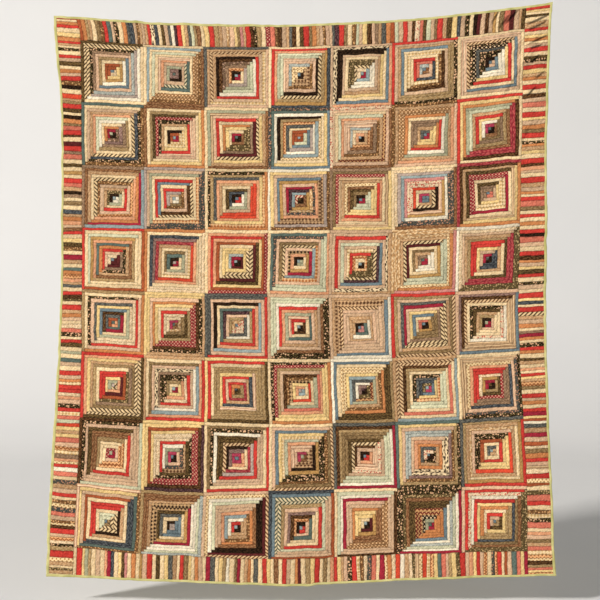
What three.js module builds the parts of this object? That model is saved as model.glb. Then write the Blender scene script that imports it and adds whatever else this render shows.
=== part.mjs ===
// Log cabin quilt, hanging from its top edge: a field of log cabin blocks, a pieced border on each side
// and a narrow folded binding. Millimetres, +Z up, and the quilt's front faces -Y.
// The origin is at the middle of the top edge, halfway through the cloth.
import * as THREE from 'three';

// Driving dimensions of the quilt laid flat
const block = 228.6;
const columns = 7;
const rows = 8;
const leftBorder = 86;
const rightBorder = 94;
const topBorder = 83;
const bottomBorder = 95;
const cloth = 3;
const bindingWidth = 9;
const bindingCloth = 1;
const gap = 0.3;

// How far the front stands proud between the seams of a block, and of a border
const blockPuff = 2;
const borderPuff = 1;

const fieldRight = leftBorder + columns * block;
const fieldBottom = topBorder + rows * block;
const flatWidth = fieldRight + rightBorder;
const flatHeight = fieldBottom + bottomBorder;

// The hung outline: x of the two edges and of the two border seams at each level, which is a line that runs
// across the quilt. The levels are the top edge, the seam over each row of blocks, the last seam and the hem.
const outline = [
  { left: -888, leftSeam: -809, rightSeam: 796, right: 888 },
  { left: -885, leftSeam: -794, rightSeam: 787, right: 881 },
  { left: -864, leftSeam: -790, rightSeam: 780, right: 873 },
  { left: -861, leftSeam: -788, rightSeam: 775, right: 866 },
  { left: -863, leftSeam: -788, rightSeam: 771, right: 868 },
  { left: -864, leftSeam: -788, rightSeam: 764, right: 864 },
  { left: -873, leftSeam: -790, rightSeam: 768, right: 866 },
  { left: -888, leftSeam: -795, rightSeam: 782, right: 873 },
  { left: -901, leftSeam: -806, rightSeam: 793, right: 884 },
  { left: -914, leftSeam: -818, rightSeam: 796, right: 893 },
  { left: -917, leftSeam: -822, rightSeam: 799, right: 897 },
];

// How each level sags: its z at the left edge, a quarter of the way across, and so on to the right edge
const sag = [
  { left: 30, leftQuarter: 3, middle: 0, rightQuarter: 23, right: 77 },
  { left: -52, leftQuarter: -80, middle: -82, rightQuarter: -59, right: -7 },
  { left: -274, leftQuarter: -295, middle: -301, rightQuarter: -281, right: -235 },
  { left: -498, leftQuarter: -514, middle: -518, rightQuarter: -506, right: -472 },
  { left: -723, leftQuarter: -732, middle: -735, rightQuarter: -730, right: -705 },
  { left: -943, leftQuarter: -956, middle: -963, rightQuarter: -958, right: -936 },
  { left: -1161, leftQuarter: -1182, middle: -1192, rightQuarter: -1184, right: -1157 },
  { left: -1396, leftQuarter: -1412, middle: -1424, rightQuarter: -1413, right: -1388 },
  { left: -1627, leftQuarter: -1664, middle: -1659, rightQuarter: -1650, right: -1639 },
  { left: -1858, leftQuarter: -1889, middle: -1904, rightQuarter: -1883, right: -1873 },
  { left: -1969, leftQuarter: -1984, middle: -2001, rightQuarter: -1977, right: -1962 },
];

// Where the seams between the columns stand, as shares of the field's width, at three heights
const columnSeams = {
  top: [0, 0.141, 0.277, 0.424, 0.563, 0.702, 0.850, 1],
  middle: [0, 0.144, 0.283, 0.425, 0.566, 0.708, 0.856, 1],
  foot: [0, 0.143, 0.281, 0.429, 0.576, 0.714, 0.856, 1],
};

// Soft upright waves, nothing at the top edge and full at the hem: height, and waves across the quilt
const waves = [
  { height: 9, count: 1.5, start: 0.35 },
  { height: 5, count: 3.6, start: 0.1 },
  { height: 3, count: 6.5, start: 0.6 },
];

// The whole cloth bellies forward between its held corners, most of it above the middle
const billow = 14;
const billowHigh = 0.6;

// Creases that fan out below the corners that carry the weight. Angles are in radians below the top edge.
const fans = [
  { corner: 'right', height: 5, ridges: 25, start: 0.4, aim: 1.02, spread: 0.42 },
  { corner: 'left', height: 2.5, ridges: 18, start: 1.9, aim: 0.85, spread: 0.4 },
];
const fanRise = 200;
const fanFade = 620;

const { clamp, lerp } = THREE.MathUtils;

// A smooth curve through evenly spaced values
function smooth(values, position) {
  const last = values.length - 1;
  const start = clamp(Math.floor(position), 0, last - 1);
  const valueAt = (k) => {
    if (k < 0) return 2 * values[0] - values[1];
    if (k > last) return 2 * values[last] - values[last - 1];
    return values[k];
  };
  const [before, from, to, after] = [start - 1, start, start + 1, start + 2].map(valueAt);
  const t = position - start;
  const bend = 2 * before - 5 * from + 4 * to - after;
  const twist = 3 * (from - to) + after - before;
  return from + 0.5 * t * (to - before + t * (bend + t * twist));
}

// The level, counted in rows of the two tables, of a flat distance down from the top edge
function levelOf(down) {
  if (down < topBorder) return down / topBorder;
  if (down > fieldBottom) return rows + 1 + (down - fieldBottom) / bottomBorder;
  return 1 + (down - topBorder) / block;
}

// The share of the field's width at a flat distance across, with the seams leaning as the columns do
function fieldShare(across, level) {
  const column = clamp(Math.floor((across - leftBorder) / block), 0, columns - 1);
  const part = (across - leftBorder) / block - column;
  const height = 2 * clamp((level - 1) / rows, 0, 1);
  const seam = (k) => (height < 1
    ? lerp(columnSeams.top[k], columnSeams.middle[k], height)
    : lerp(columnSeams.middle[k], columnSeams.foot[k], height - 1));
  return lerp(seam(column), seam(column + 1), part);
}

function fanDepth({ corner, height, ridges, start, aim, spread }, x, z) {
  const away = corner === 'right' ? outline[0].right - x : x - outline[0].left;
  const below = sag[0][corner] - z;
  const reach = Math.hypot(away, below);
  const angle = Math.atan2(below, away);
  const aimed = Math.exp(-(((angle - aim) / spread) ** 2));
  const strength = (1 - Math.exp(-((reach / fanRise) ** 2))) * Math.exp(-reach / fanFade);
  return height * aimed * strength * Math.cos(ridges * angle + start);
}

// How far the cloth stands behind the upright plane through its top edge, less than nothing in front of it
function depthAt(x, z, share) {
  const fall = clamp(-z / flatHeight, 0, 1);
  const belly = Math.sin(Math.PI * share) * Math.sin(Math.PI * fall * (1 + billowHigh * (1 - fall)));
  const waveDepth = ({ height, count, start }) => height * fall * Math.sin(2 * Math.PI * (count * share + start));
  const depths = [...waves.map(waveDepth), ...fans.map((fan) => fanDepth(fan, x, z))];
  return depths.reduce((sum, depth) => sum + depth, -billow * belly);
}

// The hung place of a point of the flat quilt, across from its left edge and down from its top edge. It lies
// on the cloth's front.
function hungAt(across, down) {
  const level = levelOf(down);
  const edgeAt = (name) => smooth(outline.map((row) => row[name]), level);
  const [left, leftSeam, rightSeam, right] = ['left', 'leftSeam', 'rightSeam', 'right'].map(edgeAt);
  let x = lerp(leftSeam, rightSeam, fieldShare(across, level));
  if (across < leftBorder) x = lerp(left, leftSeam, across / leftBorder);
  if (across > fieldRight) x = lerp(rightSeam, right, (across - fieldRight) / rightBorder);
  const share = (x - left) / (right - left);
  const sagNames = ['left', 'leftQuarter', 'middle', 'rightQuarter', 'right'];
  const heights = sagNames.map((name) => smooth(sag.map((row) => row[name]), level));
  const z = smooth(heights, (sagNames.length - 1) * share);
  return new THREE.Vector3(x, depthAt(x, z, share) - cloth / 2, z);
}

// Lines at which the cloth is cut into facets. A border starts inside the binding's fold, and pieces that are
// sewn edge to edge keep half the gap each.
const foldDepth = bindingCloth + gap;
const boundBand = bindingWidth + gap;
const halfGap = gap / 2;
const blockLines = [0, 0.07, 0.36, 0.64, 0.93];

function fieldLines(start, count) {
  const lines = Array.from({ length: count }, (_, k) => blockLines.map((share) => start + (k + share) * block));
  return [...lines.flat(), start + count * block];
}

const borderLines = (width) => [foldDepth, boundBand, (width + boundBand) / 2, width - halfGap];
const farLines = (size, width) => borderLines(width).map((distance) => size - distance).reverse();

const fieldAcross = fieldLines(leftBorder, columns);
const fieldDown = fieldLines(topBorder, rows);
const patchAcross = [leftBorder + halfGap, ...fieldAcross.slice(1, -1), fieldRight - halfGap];
const patchDown = [topBorder + halfGap, ...fieldDown.slice(1, -1), fieldBottom - halfGap];
const leftLines = borderLines(leftBorder);
const rightLines = farLines(flatWidth, rightBorder);
const topLines = borderLines(topBorder);
const bottomLines = farLines(flatHeight, bottomBorder);
const allAcross = [...leftLines.slice(0, -1), ...fieldAcross, ...rightLines.slice(1)];
const allDown = [...topLines.slice(0, -1), ...fieldDown, ...bottomLines.slice(1)];

function geometryOf(points, triangles) {
  const geometry = new THREE.BufferGeometry();
  geometry.setAttribute('position', new THREE.Float32BufferAttribute(points.flatMap((p) => [p.x, p.y, p.z]), 3));
  geometry.setIndex(triangles);
  geometry.computeVertexNormals();
  return geometry;
}

// A sheet of cloth over a grid of flat lines, closed round its rim. Its cells are split along the diagonal
// that runs with the creases.
function sheet(acrossLines, downLines, puffAt) {
  const front = [];
  const back = [];
  for (const down of downLines) {
    for (const across of acrossLines) {
      const place = hungAt(across, down);
      front.push(place.clone().setY(place.y - puffAt(across, down)));
      back.push(place.setY(place.y + cloth));
    }
  }
  const wide = acrossLines.length;
  const tall = downLines.length;
  const behind = front.length;
  const triangles = [];
  const quad = (a, b, c, d) => triangles.push(a, d, b, d, c, b);
  for (let j = 0; j < tall - 1; j += 1) {
    for (let i = 0; i < wide - 1; i += 1) {
      const [a, b] = [j * wide + i, j * wide + i + 1];
      quad(a, b, b + wide, a + wide);
      quad(behind + a + wide, behind + b + wide, behind + b, behind + a);
    }
  }
  for (let i = 0; i < wide - 1; i += 1) {
    const foot = (tall - 1) * wide + i;
    quad(behind + i, behind + i + 1, i + 1, i);
    quad(foot, foot + 1, behind + foot + 1, behind + foot);
  }
  for (let j = 0; j < tall - 1; j += 1) {
    const [left, right] = [j * wide, j * wide + wide - 1];
    quad(behind + left, left, left + wide, behind + left + wide);
    quad(right, behind + right, behind + right + wide, right + wide);
  }
  return geometryOf([...front, ...back], triangles);
}

// The puff rises quickly from a seam and is full between two of them
const puffRise = 0.3;
const puffBetween = (share) => Math.sin(Math.PI * clamp(share, 0, 1)) ** puffRise;

const blockPuffAt = (across, down) => blockPuff
  * puffBetween(((across - leftBorder) / block) % 1) * puffBetween(((down - topBorder) / block) % 1);

// A border is flat under its binding, where the distance from the edge is small
const borderPuffAt = (distance, width) => borderPuff * puffBetween((distance - boundBand) / (width - boundBand));

function sidePuff(distance, width, down) {
  const bound = down <= boundBand || down >= flatHeight - boundBand;
  return bound ? 0 : borderPuffAt(distance, width);
}

// The binding's folded section: how far each point lies in from the edge, and back from the cloth's front
const lap = gap + bindingCloth;
const roundOff = 0.5;
const bindingSection = [
  { inward: bindingWidth, back: -lap },
  { inward: bindingWidth, back: -gap },
  { inward: bindingCloth, back: -gap },
  { inward: bindingCloth, back: cloth + gap },
  { inward: bindingWidth, back: cloth + gap },
  { inward: bindingWidth, back: cloth + lap },
  { inward: bindingCloth + roundOff, back: cloth + lap },
  { inward: 0, back: cloth - roundOff },
  { inward: 0, back: roundOff },
  { inward: bindingCloth + roundOff, back: -lap },
];

// A folded strip along one edge. placeAt gives the hung place at a line and a distance in from the edge, and
// turned is true where the section has to run the other way for its faces to point out.
function binding(lines, placeAt, turned) {
  const points = lines.flatMap((line) => bindingSection.map(({ inward, back }) => {
    const place = placeAt(line, inward);
    return place.setY(place.y + back);
  }));
  const size = bindingSection.length;
  const last = (lines.length - 1) * size;
  const triangles = [];
  const triangle = (a, b, c) => triangles.push(...(turned ? [a, c, b] : [a, b, c]));
  for (let start = 0; start < last; start += size) {
    for (let k = 0; k < size; k += 1) {
      const [a, b] = [start + k, start + (k + 1) % size];
      triangle(a, a + size, b);
      triangle(b, a + size, b + size);
    }
  }
  const section = bindingSection.map(({ inward, back }) => new THREE.Vector2(inward, back));
  for (const [a, b, c] of THREE.ShapeUtils.triangulateShape(section, [])) {
    triangle(a, b, c);
    triangle(last + a, last + c, last + b);
  }
  return geometryOf(points, triangles);
}

// Finishes
const cotton = (color) => new THREE.MeshStandardMaterial({ color, roughness: 0.95, metalness: 0 });
const patchworkCotton = cotton(0xb09a7c);
const borderCotton = cotton(0xc49a72);
const bindingCotton = cotton(0xb7b578);

const quilt = new THREE.Group();

function add(name, geometry, material) {
  const mesh = new THREE.Mesh(geometry, material);
  mesh.name = name;
  quilt.add(mesh);
}

add('patchwork', sheet(patchAcross, patchDown, blockPuffAt), patchworkCotton);

// The side borders run the full height, and the top and bottom borders lie between them
const leftPuff = (across, down) => sidePuff(across, leftBorder, down);
const rightPuff = (across, down) => sidePuff(flatWidth - across, rightBorder, down);
const topPuff = (across, down) => borderPuffAt(down, topBorder);
const bottomPuff = (across, down) => borderPuffAt(flatHeight - down, bottomBorder);
add('border_left', sheet(leftLines, allDown, leftPuff), borderCotton);
add('border_right', sheet(rightLines, allDown, rightPuff), borderCotton);
add('border_top', sheet(patchAcross, topLines, topPuff), borderCotton);
add('border_bottom', sheet(patchAcross, bottomLines, bottomPuff), borderCotton);

// The end bindings run the full width, and the side bindings lie between them
const endLines = [0, ...allAcross, flatWidth];
const sideLines = allDown.slice(1, -1);
const fromTop = (line, inward) => hungAt(line, inward);
const fromBottom = (line, inward) => hungAt(line, flatHeight - inward);
const fromLeft = (line, inward) => hungAt(inward, line);
const fromRight = (line, inward) => hungAt(flatWidth - inward, line);
add('binding_top', binding(endLines, fromTop, true), bindingCotton);
add('binding_bottom', binding(endLines, fromBottom, false), bindingCotton);
add('binding_left', binding(sideLines, fromLeft, false), bindingCotton);
add('binding_right', binding(sideLines, fromRight, true), bindingCotton);

export default quilt;
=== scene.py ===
import math

import bpy
import numpy as np
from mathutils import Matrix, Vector


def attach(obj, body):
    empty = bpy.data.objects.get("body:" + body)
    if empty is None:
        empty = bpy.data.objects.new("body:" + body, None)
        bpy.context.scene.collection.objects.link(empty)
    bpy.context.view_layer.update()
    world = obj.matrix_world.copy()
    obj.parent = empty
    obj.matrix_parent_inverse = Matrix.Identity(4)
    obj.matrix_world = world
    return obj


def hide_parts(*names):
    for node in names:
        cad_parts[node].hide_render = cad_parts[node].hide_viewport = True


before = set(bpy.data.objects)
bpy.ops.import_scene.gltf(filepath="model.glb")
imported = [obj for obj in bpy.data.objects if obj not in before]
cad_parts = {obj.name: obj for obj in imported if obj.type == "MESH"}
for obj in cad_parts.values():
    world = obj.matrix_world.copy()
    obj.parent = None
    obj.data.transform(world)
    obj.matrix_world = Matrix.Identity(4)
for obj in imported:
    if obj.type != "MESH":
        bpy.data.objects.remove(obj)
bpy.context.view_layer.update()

# How the quilt hangs
# Cotton patchwork on a thin cotton wadding, about 3 mm thick, held up by its two top corners. The top edge
# sags between them, the sides draw in above the middle, and soft upright waves deepen towards the hem.
# Lengths on the flat quilt run across from its left edge and down from its top edge, in millimetres.
MM = 0.001
BLOCK = 228.6
COLUMNS, ROWS = 7, 8
LEFT_BORDER, RIGHT_BORDER, TOP_BORDER, BOTTOM_BORDER = 86, 94, 83, 95
FIELD_RIGHT = LEFT_BORDER + COLUMNS * BLOCK
FIELD_BOTTOM = TOP_BORDER + ROWS * BLOCK
FLAT_WIDTH = FIELD_RIGHT + RIGHT_BORDER
FLAT_HEIGHT = FIELD_BOTTOM + BOTTOM_BORDER
CLOTH = 3.0
HALF_GAP = 0.02  # half the space between pieces sewn edge to edge
# The binding's width on each face, its thickness, and the space between it and the cloth that it covers
BINDING, BINDING_CLOTH, GAP = 9.0, 1.0, 0.3
BOUND_BAND = BINDING + GAP

# x of the two edges and the two border seams: at the top edge, over each row, at the last seam and the hem
OUTLINE = {
    "left": [-888, -885, -864, -861, -863, -864, -873, -888, -901, -914, -917],
    "left_seam": [-809, -794, -790, -788, -788, -788, -790, -795, -806, -818, -822],
    "right_seam": [796, 787, 780, 775, 771, 764, 768, 782, 793, 796, 799],
    "right": [888, 881, 873, 866, 868, 864, 866, 873, 884, 893, 897],
}
# z of the same levels, at the left edge, the quarters of the way across and the right edge
SAG = {
    "left": [30, -52, -274, -498, -723, -943, -1161, -1396, -1627, -1858, -1969],
    "left_quarter": [3, -80, -295, -514, -732, -956, -1182, -1412, -1664, -1889, -1984],
    "middle": [0, -82, -301, -518, -735, -963, -1192, -1424, -1659, -1904, -2001],
    "right_quarter": [23, -59, -281, -506, -730, -958, -1184, -1413, -1650, -1883, -1977],
    "right": [77, -7, -235, -472, -705, -936, -1157, -1388, -1639, -1873, -1962],
}
# Where the seams between the columns stand, as shares of the field's width
COLUMN_SEAMS = {
    "top": [0, 0.141, 0.277, 0.424, 0.563, 0.702, 0.850, 1],
    "middle": [0, 0.144, 0.283, 0.425, 0.566, 0.708, 0.856, 1],
    "foot": [0, 0.143, 0.281, 0.429, 0.576, 0.714, 0.856, 1],
}
WAVES = [(9, 1.5, 0.35), (5, 3.6, 0.1), (3, 6.5, 0.6)]  # height, waves across, start
BILLOW, BILLOW_HIGH = 14, 0.6
# Creases that fan out below the two held corners
FANS = [
    {"corner": "right", "height": 5, "ridges": 25, "start": 0.4, "aim": 1.02, "spread": 0.42},
    {"corner": "left", "height": 2.5, "ridges": 18, "start": 1.9, "aim": 0.85, "spread": 0.4},
]
FAN_RISE, FAN_FADE = 200, 620
# Sharp creases under the top right corner: how far in and below the corner each starts, its slope below the
# level in degrees, its length, its width and its depth
CREASES = [
    (118, 22, 47, 80, 4, 2.4),
    (150, 40, 52, 70, 4, 2.0),
    (186, 24, 58, 66, 4, 1.8),
    (12, 44, 24, 90, 3.6, 3.0),
    (18, 66, 26, 80, 3.4, 2.8),
    (10, 112, 26, 90, 3.6, 2.2),
    (33, 148, 21, 52, 3.6, 2.4),
    (46, 184, 48, 46, 3.4, 3.0),
    (58, 298, 46, 54, 3.6, 2.8),
    (24, 240, 40, 60, 3.6, 1.8),
    (96, 205, 58, 190, 4.5, 1.0),
    (150, 120, 50, 150, 4.5, 0.8),
    (70, 420, 62, 120, 5, 0.8),
]
CREASE_DARK = 2.0  # the depth at which the shade in a crease is full
# Uneven swelling between the tufts of the wadding: net size, height and seed
RUMPLES = [(90, 1.8, 3), (38, 1.4, 4), (17, 0.7, 5)]
# How far the cloth is drawn askew by its sewing: net size, distance and seed
STRAYS = [(60, 1.4, 6), (26, 1.1, 7), (13, 0.6, 8)]


def smooth(rows, position):
    """A smooth curve through evenly spaced values, or through one such column of them for each point."""
    rows = np.asarray(rows, float)
    padded = np.concatenate([2 * rows[:1] - rows[1:2], rows, 2 * rows[-1:] - rows[-2:-1]])
    start = np.clip(np.floor(position), 0, len(rows) - 2).astype(int)
    place = () if rows.ndim == 1 else (np.arange(rows.shape[1]),)
    before, first, second, after = (padded[(start + k, *place)] for k in range(4))
    t = position - start
    bend = 2 * before - 5 * first + 4 * second - after
    twist = 3 * (first - second) + after - before
    return first + 0.5 * t * (second - before + t * (bend + t * twist))


def level_of(down):
    inside = 1 + (down - TOP_BORDER) / BLOCK
    below = ROWS + 1 + (down - FIELD_BOTTOM) / BOTTOM_BORDER
    return np.where(down < TOP_BORDER, down / TOP_BORDER, np.where(down > FIELD_BOTTOM, below, inside))


def field_share(across, level):
    """The share of the field's width at a distance across, with the seams leaning as the columns do."""
    position = (across - LEFT_BORDER) / BLOCK
    column = np.clip(np.floor(position), 0, COLUMNS - 1).astype(int)
    height = 2 * np.clip((level - 1) / ROWS, 0, 1)
    top, middle, foot = (np.array(seams) for seams in COLUMN_SEAMS.values())

    def seam(k):
        high = top[k] + (middle[k] - top[k]) * height
        low = middle[k] + (foot[k] - middle[k]) * (height - 1)
        return np.where(height < 1, high, low)

    return seam(column) + (seam(column + 1) - seam(column)) * (position - column)


def depth_at(x, z, share):
    """How far the cloth stands behind the upright plane through its top edge."""
    fall = np.clip(-z / FLAT_HEIGHT, 0, 1)
    depth = -BILLOW * np.sin(np.pi * share) * np.sin(np.pi * fall * (1 + BILLOW_HIGH * (1 - fall)))
    for height, count, start in WAVES:
        depth = depth + height * fall * np.sin(2 * np.pi * (count * share + start))
    for fan in FANS:
        corner_x = OUTLINE[fan["corner"]][0]
        away = np.abs(corner_x - x)
        below = SAG[fan["corner"]][0] - z
        reach, angle = np.hypot(away, below), np.arctan2(below, away)
        aimed = np.exp(-(((angle - fan["aim"]) / fan["spread"]) ** 2))
        strength = (1 - np.exp(-((reach / FAN_RISE) ** 2))) * np.exp(-reach / FAN_FADE)
        depth = depth + fan["height"] * aimed * strength * np.cos(fan["ridges"] * angle + fan["start"])
    return depth


def rumple(across, down, net, seed):
    """Seeded heights on a square net, smoothly joined, from -1 to 1."""
    shape = (int(FLAT_HEIGHT / net) + 3, int(FLAT_WIDTH / net) + 3)
    heights = np.random.default_rng(seed).uniform(-1, 1, shape)
    i, j = (np.floor(flat / net).astype(int) for flat in (down, across))
    s, t = down / net - i, across / net - j
    s, t = s * s * (3 - 2 * s), t * t * (3 - 2 * t)
    high = heights[i, j] * (1 - t) + heights[i, j + 1] * t
    low = heights[i + 1, j] * (1 - t) + heights[i + 1, j + 1] * t
    return high * (1 - s) + low * s


def crease_depth(x, z):
    depth = 0
    for inward, under, slope, length, width, deep in CREASES:
        right, fall = OUTLINE["right"][0] - inward - x, SAG["right"][0] - under - z
        aim = math.radians(slope)
        along = right * math.cos(aim) + fall * math.sin(aim)
        aside = right * math.sin(aim) - fall * math.cos(aim)
        ends = np.clip(along / length, 0, 1)
        depth = depth + deep * np.exp(-((aside / width) ** 2)) * np.sin(np.pi * ends) ** 0.7
    return depth


def hang(across, down, forward=0.0):
    """Places in metres of points of the flat quilt that stand forward of the front of its seams."""
    across, down = np.broadcast_arrays(np.asarray(across, float), np.asarray(down, float))
    shape = across.shape
    across, down = across.ravel(), down.ravel()
    for net, distance, seed in STRAYS:
        sideways, downward = (distance * rumple(across, down, net, seed + k) for k in (0, 10))
        across, down = across + sideways, down + downward
    level = level_of(down)
    left, left_seam, right_seam, right = (smooth(edge, level) for edge in OUTLINE.values())
    x = left_seam + (right_seam - left_seam) * field_share(across, level)
    x = np.where(across < LEFT_BORDER, left + (left_seam - left) * across / LEFT_BORDER, x)
    beyond = (across - FIELD_RIGHT) / RIGHT_BORDER
    x = np.where(across > FIELD_RIGHT, right_seam + (right - right_seam) * beyond, x)
    share = (x - left) / (right - left)
    heights = np.stack([smooth(edge, level) for edge in SAG.values()])
    z = smooth(heights, (len(SAG) - 1) * share)
    y = depth_at(x, z, share) + crease_depth(x, z) - CLOTH / 2
    for net, height, seed in RUMPLES:
        y = y - height * rumple(across, down, net, seed)
    places = np.stack([x, y, z], 1).reshape(*shape, 3)
    places[..., 1] -= forward
    return places * MM


# The scrap cottons
# Old dress and shirt cottons, cut in strips: plain dyed ones and small prints, faded and uneven in colour.
# Under the kind of its print, each has its ground, its figure's colour and one repeat in millimetres.
FABRICS = {
    "plain": {
        "white": ("F1E5CC", "DAC8A6", 9), "cream": ("EED4A8", "D2B07E", 9),
        "butter": ("EDCE90", "CEA868", 9), "beige": ("D4B290", "B28E6A", 9),
        "blush": ("E0BA98", "C09672", 9), "peach": ("E2A67E", "C6845A", 9),
        "orange": ("D08A56", "AE6C3E", 9), "salmon": ("D67C64", "B85E4A", 9),
        "pink": ("D09084", "B46E66", 9), "rose": ("B8465A", "963248", 9),
        "flame": ("DA5238", "BA3C28", 9), "red": ("CE443A", "AE3028", 9),
        "crimson": ("A42E3C", "82202E", 9), "maroon": ("602A28", "421A18", 9),
        "rust": ("AA5A36", "884228", 9), "ochre": ("C0965A", "9E7444", 9),
        "teal": ("647268", "4C5A50", 9), "steel": ("76868A", "5C6A6E", 9),
        "sky": ("9CA8A4", "7E8C8A", 9), "lilac": ("BCA898", "988478", 9),
        "sage": ("B2AE8E", "908C6C", 9), "mint": ("D6D2B0", "B4B28C", 9),
    },
    "tick": {
        "tan": ("B0865C", "D4B28A", 8), "khaki": ("96784E", "C2A67A", 8),
        "olive": ("745A3A", "AC9064", 9), "moss": ("42301A", "846A40", 8),
        "brown": ("744A2E", "B0865C", 9), "taupe": ("7E624A", "B49474", 8),
        "mauve": ("785A50", "AA8C7C", 8), "umber": ("3A220F", "7E5A38", 9),
        "black": ("180D05", "4A3422", 8), "plum": ("3A2426", "785854", 8),
        "navy": ("34363A", "6C706E", 9), "slate": ("484844", "827E70", 8),
        "diamond": ("8E2C34", "C8645C", 10),
    },
    "slant": {
        "twill": ("E0C292", "56422C", 15), "browntwill": ("DAB688", "6C4A30", 14),
        "greentwill": ("DAC8A0", "505644", 14), "redstripe": ("DEBC98", "9E3430", 14),
    },
    "line": {
        "pinkstripe": ("E4C4A0", "C09070", 7), "tanstripe": ("D8B88E", "A6805A", 7),
    },
    "marble": {
        "scribble": ("ECD2AA", "B28E62", 26), "marble": ("B6B6A8", "727E7C", 22),
        "meadow": ("CECAA8", "909276", 22),
    },
    "check": {
        "gingham": ("ECD0A2", "C49E66", 12), "orangecheck": ("E2B684", "AE6636", 12),
        "browncheck": ("CAA276", "5E3E28", 13), "blackcheck": ("C49E70", "2E1E14", 13),
    },
    "dot": {
        "dots": ("8E6640", "DCB284", 13), "yellowdots": ("EACC9A", "AA7E4C", 13),
        "reddots": ("902C30", "D09C80", 12), "blackdots": ("24160E", "D2B68E", 14),
    },
    "zigzag": {
        "chain": ("DEA672", "9A5E36", 13), "zigzag": ("C29462", "6A2E24", 14),
    },
    "leaf": {
        "leaf": ("E2C89E", "32241A", 19), "tanleaf": ("B48A5C", "E0C094", 18),
    },
    "floral": {
        "garden": ("221308", "DAAC84", 22), "forest": ("54422A", "B89A6C", 20),
        "night": ("3C3E40", "B88668", 20), "maple": ("6E462A", "CE9E6A", 20),
        "paisley": ("6A4E40", "C09A80", 19), "coral": ("EACCA8", "C25040", 20),
    },
}


def linear(hex_colour):
    """An sRGB hex colour as linear red, green, blue and a full alpha."""
    parts = [int(hex_colour[k : k + 2], 16) / 255 for k in (0, 2, 4)]
    return [c / 12.92 if c <= 0.04045 else ((c + 0.055) / 1.055) ** 2.4 for c in parts] + [1.0]


def add(tree, kind, inputs=(), **settings):
    """Adds a node, with its settings, and gives each input its value or joins it to a socket."""
    node = tree.nodes.new("ShaderNode" + kind)
    for name, value in settings.items():
        setattr(node, name, value)
    for key, value in dict(inputs).items():
        if isinstance(value, bpy.types.NodeSocket):
            tree.links.new(value, node.inputs[key])
        else:
            node.inputs[key].default_value = value
    return node


# The values of each pattern between which the ground's colour turns to the figure's
TURNS_AT = {
    "plain": (0.4, 0.66), "tick": (0.5, 0.2), "slant": (0.4, 0.72), "line": (0.45, 0.75),
    "marble": (0.07, 0.0), "check": (0.7, 1.5), "dot": (0.36, 0.24), "zigzag": (0.2, 0.32),
    "leaf": (0.42, 0.3), "floral": (0.38, 0.24),
}
TICK_STRENGTH = 0.7
# Prints of spots: how far their net is turned, its scale and how unevenly the spots stand on it
SPOTS = {
    "dot": (math.pi / 4, (1.4, 1.4, 1), 0.12), "tick": (0.6, (0.8, 2.2, 1), 0.8),
    "leaf": (0.7, (1.5, 3.4, 1), 1.0),
}
ONE_BAND = math.pi / 10  # the wave texture's scale for one band to a unit


def pattern(tree, kind, at):
    """The value of a print's pattern at a place on the cloth, where one unit is one repeat."""
    if kind == "slant":
        return add(tree, "TexWave", {"Vector": at, "Scale": 2 * ONE_BAND, "Distortion": 0.6, "Detail": 1},
                   bands_direction="DIAGONAL").outputs["Fac"]
    if kind == "line":
        return add(tree, "TexWave", {"Vector": at, "Scale": ONE_BAND, "Distortion": 0.3},
                   bands_direction="Y").outputs["Fac"]
    if kind == "check":
        bands = [add(tree, "TexWave", {"Vector": at, "Scale": ONE_BAND}, bands_direction=way) for way in "XY"]
        return add(tree, "Math", {k: band.outputs["Fac"] for k, band in enumerate(bands)}).outputs[0]
    if kind in SPOTS:
        turn, scale, uneven = SPOTS[kind]
        net = add(tree, "Mapping", {"Vector": at, "Rotation": (0, 0, turn), "Scale": scale})
        return add(tree, "TexVoronoi", {"Vector": net.outputs[0], "Scale": 1, "Randomness": uneven},
                   voronoi_dimensions="2D").outputs["Distance"]
    if kind == "zigzag":
        parts = add(tree, "SeparateXYZ", {"Vector": at})
        teeth = add(tree, "Math", {0: parts.outputs["X"], 1: 0.5}, operation="PINGPONG")
        bent = add(tree, "Math", {0: teeth.outputs[0], 1: parts.outputs["Y"]})
        return add(tree, "Math", {0: bent.outputs[0], 1: 0.5}, operation="PINGPONG").outputs[0]
    if kind == "marble":
        cloud = add(tree, "TexNoise", {"Vector": at, "Scale": 2.6, "Detail": 3, "Distortion": 1.2})
        fold = add(tree, "Math", {0: cloud.outputs["Fac"], 1: 0.5}, operation="SUBTRACT")
        return add(tree, "Math", {0: fold.outputs[0]}, operation="ABSOLUTE").outputs[0]
    if kind == "floral":
        petals = add(tree, "TexNoise", {"Vector": at, "Scale": 9, "Detail": 1})
        loose = add(tree, "MixRGB", {"Fac": 0.12, "Color1": at, "Color2": petals.outputs["Color"]},
                    blend_type="LINEAR_LIGHT")
        heads = add(tree, "TexVoronoi", {"Vector": loose.outputs[0], "Scale": 2.4}, voronoi_dimensions="2D")
        picked = add(tree, "SeparateXYZ", {"Vector": heads.outputs["Color"]})
        left_out = add(tree, "Math", {0: picked.outputs["X"], 1: 0.35}, operation="LESS_THAN")
        return add(tree, "Math", {0: heads.outputs["Distance"], 1: left_out.outputs[0]}).outputs[0]
    return add(tree, "TexNoise", {"Vector": at, "Scale": 1.6, "Detail": 3, "Roughness": 0.65}).outputs["Fac"]


def leafy(tree, colour, at):
    """Small green-brown leaves between the heads of a floral print."""
    leaves = add(tree, "TexVoronoi", {"Vector": at, "Scale": 4.6}, voronoi_dimensions="2D")
    near = leaves.outputs["Distance"]
    few = add(tree, "MapRange", {"Value": near, "From Min": 0.3, "From Max": 0.18, "To Max": 0.75})
    green = linear("8C7E4C")
    return add(tree, "MixRGB", {"Fac": few.outputs[0], "Color1": colour, "Color2": green}).outputs[0]


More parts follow.
